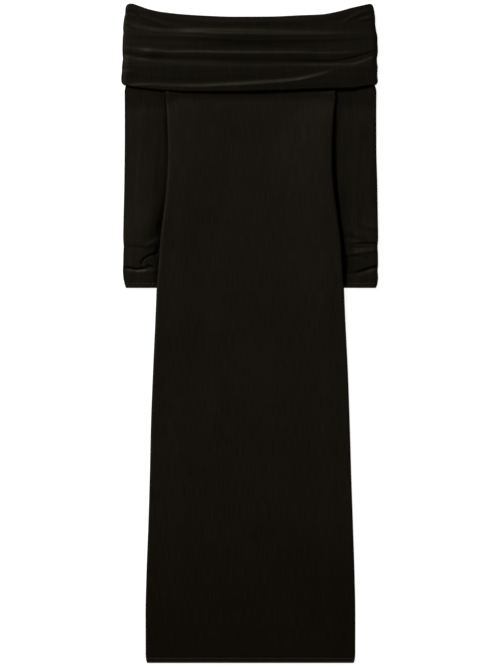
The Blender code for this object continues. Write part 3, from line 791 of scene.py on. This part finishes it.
def collarTube(name, across, outer, inner, inset, topRoll, lowRoll, heights):
    # a flat tube: its outer wall goes down from the top edge, and its inner wall back up
    down = np.concatenate([outer, inner[-2:0:-1]])
    isOuter = np.concatenate([np.ones(len(outer)), np.zeros(len(inner) - 2)])
    u, v = np.meshgrid(across, down, indexing="ij")
    isOuter = np.broadcast_to(isOuter, u.shape)
    x, drop = collarPlace(u, v, inset)
    low, high = heights(x, drop)
    nearEdge = nearTo(v * collar["depth"], topRoll) * nearTo((1 - v) * collar["depth"], lowRoll)
    middle = (low + high) / 2
    z = middle + (np.where(isOuter > 0, high, low) - middle) * nearEdge
    return shell(name, x, drop, z, True, collarCornerShade(x, drop, isOuter))


def makeCollarFront():
    topRoll, lowRoll = collar["topRoll"], collar["lowRoll"]
    outer = downPlaces(collar["outerRows"], topRoll, lowRoll)
    inner = downPlaces(collar["innerRows"], topRoll, lowRoll)
    return collarTube(
        "collarFront", acrossPlaces(collar["columns"]), outer, inner, dress["wall"] / 2,
        topRoll, lowRoll, collarHeights,
    )


def makeCollarBack():
    roll = collar["backRoll"]
    places = downPlaces(collar["backRows"], roll, roll)

    def heights(x, drop):
        return np.full_like(x, layer(0)), np.full_like(x, layer(1))

    return collarTube(
        "collarBack", acrossPlaces(collar["backColumns"]), places, places, collar["backInset"],
        roll, roll, heights,
    )


# Stitches: short threads along a path, laid by Geometry Nodes

stitches = {
    "length": 2.4,
    "pitch": 4.4,
    "radius": 0.34,
    "sides": 6,
    "rowsFromEdge": [3.4, 8.6],
    "fromSeam": 2.5,          # a row starts this far in from a side
    "underBody": 4.0,         # a cuff's rows go on this far under the body
    "hemPoints": 120,         # how many places each row's path has
    "cuffPoints": 60,
    "deep": (0.010, 0.008, 0.0055, 1),
    "light": (0.022, 0.018, 0.013, 1),
}


def stitchTree():
    tree = bpy.data.node_groups.new("stitchRow", "GeometryNodeTree")
    face = tree.interface
    face.new_socket("Path", in_out="INPUT", socket_type="NodeSocketGeometry")
    for name in ("Pitch", "Length", "Radius"):
        face.new_socket(name, in_out="INPUT", socket_type="NodeSocketFloat")
    face.new_socket("Thread", in_out="INPUT", socket_type="NodeSocketMaterial")
    face.new_socket("Geometry", in_out="OUTPUT", socket_type="NodeSocketGeometry")

    def add(kind, settings=None, sockets=None):
        node = tree.nodes.new(kind)
        for key, value in (settings or {}).items():
            setattr(node, key, value)
        for key, value in (sockets or {}).items():
            if isinstance(value, bpy.types.NodeSocket):
                tree.links.new(value, node.inputs[key])
            else:
                node.inputs[key].default_value = value
        return node

    given = add("NodeGroupInput").outputs
    path = add("GeometryNodeMeshToCurve", None, {"Mesh": given["Path"]}).outputs["Curve"]
    spots = add("GeometryNodeCurveToPoints", {"mode": "LENGTH"}, {"Curve": path, "Length": given["Pitch"]})
    thread = add("GeometryNodeMeshCylinder", {"fill_type": "TRIANGLE_FAN"},
                 {"Vertices": stitches["sides"], "Radius": given["Radius"], "Depth": given["Length"]})
    turn = add("FunctionNodeAlignRotationToVector", {"axis": "Z"}, {"Vector": spots.outputs["Tangent"]})
    placed = add("GeometryNodeInstanceOnPoints", None,
                 {"Points": spots.outputs["Points"], "Instance": thread.outputs["Mesh"],
                  "Rotation": turn.outputs["Rotation"]})
    real = add("GeometryNodeRealizeInstances", None, {"Geometry": placed.outputs["Instances"]})
    smooth = add("GeometryNodeSetShadeSmooth", None, {"Geometry": real.outputs["Geometry"]})
    done = add("GeometryNodeSetMaterial", None,
               {"Geometry": smooth.outputs["Geometry"], "Material": given["Thread"]})
    add("NodeGroupOutput", None, {"Geometry": done.outputs["Geometry"]})
    return tree


def sewRows(name, paths, tree, thread):
    # paths are lists of places in metres; all their stitches become one plain mesh
    spots, edges = [], []
    for path in paths:
        edges += [(len(spots) + i, len(spots) + i + 1) for i in range(len(path) - 1)]
        spots += path
    mesh = bpy.data.meshes.new(f"{name}Path")
    mesh.from_pydata(spots, edges, [])
    guide = bpy.data.objects.new(f"{name}Path", mesh)
    bpy.context.scene.collection.objects.link(guide)
    sewing = guide.modifiers.new("sewing", "NODES")
    sewing.node_group = tree
    values = {
        "Pitch": stitches["pitch"] * mm,
        "Length": stitches["length"] * mm,
        "Radius": stitches["radius"] * mm,
        "Thread": thread,
    }
    for item in tree.interface.items_tree:
        if item.in_out == "INPUT" and item.name in values:
            sewing[item.identifier] = values[item.name]
    bpy.context.view_layer.update()
    sewn = bpy.data.meshes.new_from_object(guide.evaluated_get(bpy.context.evaluated_depsgraph_get()))
    guide.modifiers.remove(sewing)
    bpy.data.objects.remove(guide)
    sewn.name = name
    obj = bpy.data.objects.new(name, sewn)
    bpy.context.scene.collection.objects.link(obj)
    return obj


def onCloth(x, drop, z):
    # places in metres on the upper face of a wall whose middle is at z
    z = z + dress["wall"] / 2 + dress["clear"]
    return [(a * mm, (dress["length"] / 2 - b) * mm, c * mm) for a, b, c in zip(x, drop, z)]


def hemPaths():
    paths = []
    for fromEdge in stitches["rowsFromEdge"]:
        drop = body["hemDrop"] - fromEdge
        start, end = bodyLeft(drop) + stitches["fromSeam"], bodyRight(drop) - stitches["fromSeam"]
        x = np.linspace(start, end, stitches["hemPoints"])
        paths.append(onCloth(x, np.full_like(x, drop), frontHeight(x, drop)))
    return paths


def cuffPaths(side):
    paths = []
    for fromEdge in stitches["rowsFromEdge"]:
        drop = sleeves["cuffDrop"] - fromEdge
        outer, bodyEdge = sleeveEdges(side, drop)
        last = -side * (bodyEdge - outer) + stitches["underBody"]
        across = np.linspace(stitches["fromSeam"], last, stitches["cuffPoints"])
        x, z = sleevePlace(side, drop, across, np.ones_like(across))
        paths.append(onCloth(x, np.full_like(x, drop), z))
    return paths


# Finishes

class Wire:
    # a socket that can be added, subtracted and multiplied
    def __init__(self, finish, socket):
        self.finish, self.socket = finish, socket

    def combine(self, operation, first, second):
        return self.finish.add("ShaderNodeMath", {"operation": operation}, {0: first, 1: second})

    def __add__(self, other):
        return self.combine("ADD", self, other)

    def __sub__(self, other):
        return self.combine("SUBTRACT", self, other)

    def __rsub__(self, other):
        return self.combine("SUBTRACT", other, self)

    def __mul__(self, other):
        return self.combine("MULTIPLY", self, other)

    __radd__, __rmul__ = __add__, __mul__


class Finish:
    def __init__(self, name):
        self.material = bpy.data.materials.new(name)
        self.material.use_nodes = True
        self.tree = self.material.node_tree
        self.tree.nodes.clear()

    def add(self, kind, settings=None, sockets=None, output=0):
        node = self.tree.nodes.new(kind)
        for key, value in (settings or {}).items():
            setattr(node, key, value)
        for key, value in (sockets or {}).items():
            if isinstance(value, Wire):
                self.tree.links.new(value.socket, node.inputs[key])
            else:
                node.inputs[key].default_value = value
        return Wire(self, node.outputs[output]) if node.outputs else None

    def mixColors(self, share, first, second, blend="MIX"):
        # 6, 7 and 2 are the Mix node's two colour inputs and its colour output
        return self.add("ShaderNodeMix", {"data_type": "RGBA", "blend_type": blend},
                        {0: share, 6: first, 7: second}, 2)


jersey = {
    "deep": (0.0024, 0.0020, 0.0013),      # the colour runs between these two
    "light": (0.0041, 0.0034, 0.0023),
    "toneLow": 0.36,          # the noise values where it is all deep and all light
    "toneHigh": 0.64,
    "hemShadeTint": (0.74, 0.64, 0.42, 1.0),    # painted shade: the colour is multiplied darker and warmer towards the hem
    "hemShadeTop": -260.0,     # between these places along the dress
    "hemShadeFoot": -660.0,
    "sheenTint": (1.0, 0.835, 0.585, 1.0),
    "roughness": 0.45,
    "roughnessChange": 0.12,
    "specular": 0.062,
    "wale": 1.25,             # width of one wale
    "waleDepth": 0.10,
    "wander": 1.6,            # how far a wale strays sideways
    "wanderScale": 38.0,
    "streakWidth": 2.2,
    "streakLength": 42.0,
    "streakShare": 0.75,      # the rest of the tone comes from broad patches
    "broadScale": 7.0,
    "loopScale": 1500.0,
    "waleRelief": 0.5,
    "loopRelief": 0.6,
    "streakRelief": 0.8,
    "bump": 0.6,
    "unlit": (0.0006, 0.0005, 0.0004, 1.0),  # the painted shade's near-black colour, mixed in at the bottom of a tight fold
}


def jerseyFinish(name, shade=1.0, gloss=1.0):
    # wales down the cloth, fine loops, long streaks and broad patches; shade darkens the whole colour as
    # painted shade, and the painted shade mask mixes in a near-black finish
    finish = Finish(name)
    place = finish.add("ShaderNodeTexCoord", output="Object")
    x = finish.add("ShaderNodeSeparateXYZ", None, {"Vector": place}, "X")
    y = finish.add("ShaderNodeSeparateXYZ", None, {"Vector": place}, "Y")
    wobble = finish.add("ShaderNodeTexNoise", None,
                        {"Vector": place, "Scale": jersey["wanderScale"], "Detail": 2.0})
    strayed = x + (wobble - 0.5) * (jersey["wander"] * mm)
    wale = finish.add("ShaderNodeMath", {"operation": "SINE"},
                      {0: strayed * (2 * math.pi / (jersey["wale"] * mm))})
    streakPlace = finish.add("ShaderNodeMapping", None, {
        "Vector": place,
        "Scale": (1 / (jersey["streakWidth"] * mm), 1 / (jersey["streakLength"] * mm), 0.0),
    })
    streak = finish.add("ShaderNodeTexNoise", None,
                        {"Vector": streakPlace, "Scale": 1.0, "Detail": 3.0, "Roughness": 0.6})
    broad = finish.add("ShaderNodeTexNoise", None,
                       {"Vector": place, "Scale": jersey["broadScale"], "Detail": 2.0})
    loops = finish.add("ShaderNodeTexNoise", None,
                       {"Vector": place, "Scale": jersey["loopScale"], "Detail": 1.0})
    tone = finish.add("ShaderNodeMapRange", None, {
        "Value": streak * jersey["streakShare"] + broad * (1 - jersey["streakShare"]),
        "From Min": jersey["toneLow"],
        "From Max": jersey["toneHigh"],
    })
    deep, light = (tuple(c * shade for c in jersey[name]) + (1.0,) for name in ("deep", "light"))
    # painted shade: the colour grows darker and warmer towards the hem
    toHem = finish.add("ShaderNodeMapRange", {"interpolation_type": "SMOOTHSTEP"}, {
        "Value": y, "From Min": jersey["hemShadeTop"] * mm, "From Max": jersey["hemShadeFoot"] * mm,
    })
    color = finish.mixColors(toHem, finish.mixColors(tone, deep, light), jersey["hemShadeTint"], "MULTIPLY")
    relief = wale * jersey["waleRelief"] + loops * jersey["loopRelief"] + streak * jersey["streakRelief"]
    bump = finish.add("ShaderNodeBump", None, {
        "Strength": jersey["bump"], "Distance": jersey["waleDepth"] * mm, "Height": relief,
    })
    lit = finish.add("ShaderNodeBsdfPrincipled", None, {
        "Base Color": color,
        "Roughness": jersey["roughness"] + (streak - 0.5) * jersey["roughnessChange"],
        "Normal": bump,
        "Specular IOR Level": jersey["specular"] * gloss,
        "Specular Tint": jersey["sheenTint"],
    })
    # painted shade: a near-black finish, mixed in as far as the painted shade mask reaches
    unlit = finish.add("ShaderNodeBsdfPrincipled", None, {
        "Base Color": jersey["unlit"], "Roughness": 0.9, "Specular IOR Level": 0.0,
    })
    paintedShadeMask = finish.add("ShaderNodeAttribute", {"attribute_name": "paintedShade"}, None, "Fac")
    shader = finish.add("ShaderNodeMixShader", None, {0: paintedShadeMask, 1: lit, 2: unlit})
    finish.add("ShaderNodeOutputMaterial", None, {"Surface": shader})
    return finish.material


def threadFinish():
    finish = Finish("blackThread")
    place = finish.add("ShaderNodeTexCoord", output="Object")
    twist = finish.add("ShaderNodeTexNoise", None, {"Vector": place, "Scale": 2600.0, "Detail": 1.0})
    bump = finish.add("ShaderNodeBump", None, {"Strength": 0.4, "Distance": 0.1 * mm, "Height": twist})
    shader = finish.add("ShaderNodeBsdfPrincipled", None, {
        "Base Color": finish.mixColors(twist, stitches["deep"], stitches["light"]),
        "Roughness": 0.45,
        "Normal": bump,
        "Specular IOR Level": 0.25,
    })
    finish.add("ShaderNodeOutputMaterial", None, {"Surface": shader})
    return finish.material


# Stage: floor, lights and camera

stage = {
    "cameraLens": 85.0,
    "cameraHeight": 3156.0,
    "frameMiddle": (0.8, -0.2),
    "lights": {               # where each soft light hangs, its width and its power
        "keyLight": {"from": (-5340, 7330, 4800), "size": 2600, "power": 3190},
        "leftLight": {"from": (-2700, -200, 1700), "size": 1600, "power": 10},
        "rightLight": {"from": (2700, 300, 1800), "size": 1600, "power": 12},
        "footLight": {"from": (300, -2900, 2000), "size": 1800, "power": 6},
    },
    "world": 0.07,
    "floorReach": 16000.0,
    "floorHeight": -0.2,      # just below the cloth
    "floorDeep": (0.12, 0.12, 0.12, 1),
    "floorLight": (0.14, 0.14, 0.14, 1),
    "floorGlow": 0.93,        # the pale floor is lit from below, as for a cut-out
}


def floorFinish():
    finish = Finish("paleFloor")
    place = finish.add("ShaderNodeTexCoord", output="Object")
    grain = finish.add("ShaderNodeTexNoise", None, {"Vector": place, "Scale": 60.0, "Detail": 3.0})
    shader = finish.add("ShaderNodeBsdfPrincipled", None, {
        "Base Color": finish.mixColors(grain, stage["floorDeep"], stage["floorLight"]),
        "Roughness": 0.9,
        "Specular IOR Level": 0.1,
        "Emission Color": (1, 1, 1, 1),
        "Emission Strength": stage["floorGlow"],
    })
    finish.add("ShaderNodeOutputMaterial", None, {"Surface": shader})
    return finish.material


def layFloor():
    reach, z = stage["floorReach"] * mm, stage["floorHeight"] * mm
    mesh = bpy.data.meshes.new("floor")
    mesh.from_pydata([(-reach, -reach, z), (reach, -reach, z), (reach, reach, z), (-reach, reach, z)],
                     [], [(0, 1, 2, 3)])
    mesh.materials.append(floorFinish())
    floor = bpy.data.objects.new("floor", mesh)
    bpy.context.scene.collection.objects.link(floor)


def hangLight(name, place, size, power):
    lamp = bpy.data.lights.new(name, "AREA")
    lamp.shape = "DISK"
    lamp.size = size * mm
    lamp.energy = power
    obj = bpy.data.objects.new(name, lamp)
    obj.location = [c * mm for c in place]
    obj.rotation_euler = (-Vector(obj.location)).to_track_quat("-Z", "Y").to_euler()
    bpy.context.scene.collection.objects.link(obj)


def makeStage():
    scene = bpy.context.scene
    scene.view_settings.view_transform = "Standard"
    layFloor()
    for name, light in stage["lights"].items():
        hangLight(name, light["from"], light["size"], light["power"])
    world = bpy.data.worlds.new("studio")
    world.use_nodes = True
    back = world.node_tree.nodes["Background"]
    back.inputs["Color"].default_value = (1, 1, 1, 1)
    back.inputs["Strength"].default_value = stage["world"]
    scene.world = world
    lens = bpy.data.cameras.new("camera")
    lens.lens = stage["cameraLens"]
    camera = bpy.data.objects.new("camera", lens)
    x, y = stage["frameMiddle"]
    camera.location = (x * mm, y * mm, stage["cameraHeight"] * mm)
    scene.collection.objects.link(camera)
    scene.camera = camera


makeStage()
print("stage is set")

frontJersey = jerseyFinish("jerseyFront")
# the collar, sleeves and back are darker copies of the front's finish, by these shares, as painted shade
collarJersey = jerseyFinish("jerseyCollar", 0.62, 0.90)
sleeveJersey = jerseyFinish("jerseySleeves", 0.9, 0.80)
backJersey = jerseyFinish("jerseyBack", 0.85)
thread = threadFinish()
tree = stitchTree()

bodyFront, bodyBack = makeBodyFront(), makeBodyBack()
print("body panels are laid")
leftSleeve, rightSleeve = makeSleeve("sleeveLeft", -1), makeSleeve("sleeveRight", 1)
print("sleeves are laid")
collarFront, collarBack = makeCollarFront(), makeCollarBack()
print("collar is draped")
hemStitches = sewRows("hemStitches", hemPaths(), tree, thread)
leftStitches = sewRows("cuffStitchesLeft", cuffPaths(-1), tree, thread)
rightStitches = sewRows("cuffStitchesRight", cuffPaths(1), tree, thread)
print("hems are stitched")

for piece, node, finish, slot in (
    (bodyFront, "body_front", frontJersey, "jersey"),
    (bodyBack, "body_back", backJersey, "jersey_inside"),
    (leftSleeve, "sleeve_left", sleeveJersey, "jersey"),
    (rightSleeve, "sleeve_right", sleeveJersey, "jersey"),
    (collarFront, "collar_front", collarJersey, "jersey"),
    (collarBack, "collar_back", backJersey, "jersey_inside"),
):
    piece.data.materials.append(finish)
    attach(piece, "root")
    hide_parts(node)
for piece in (hemStitches, leftStitches, rightStitches):
    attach(piece, "root")

print("cloth is declared")
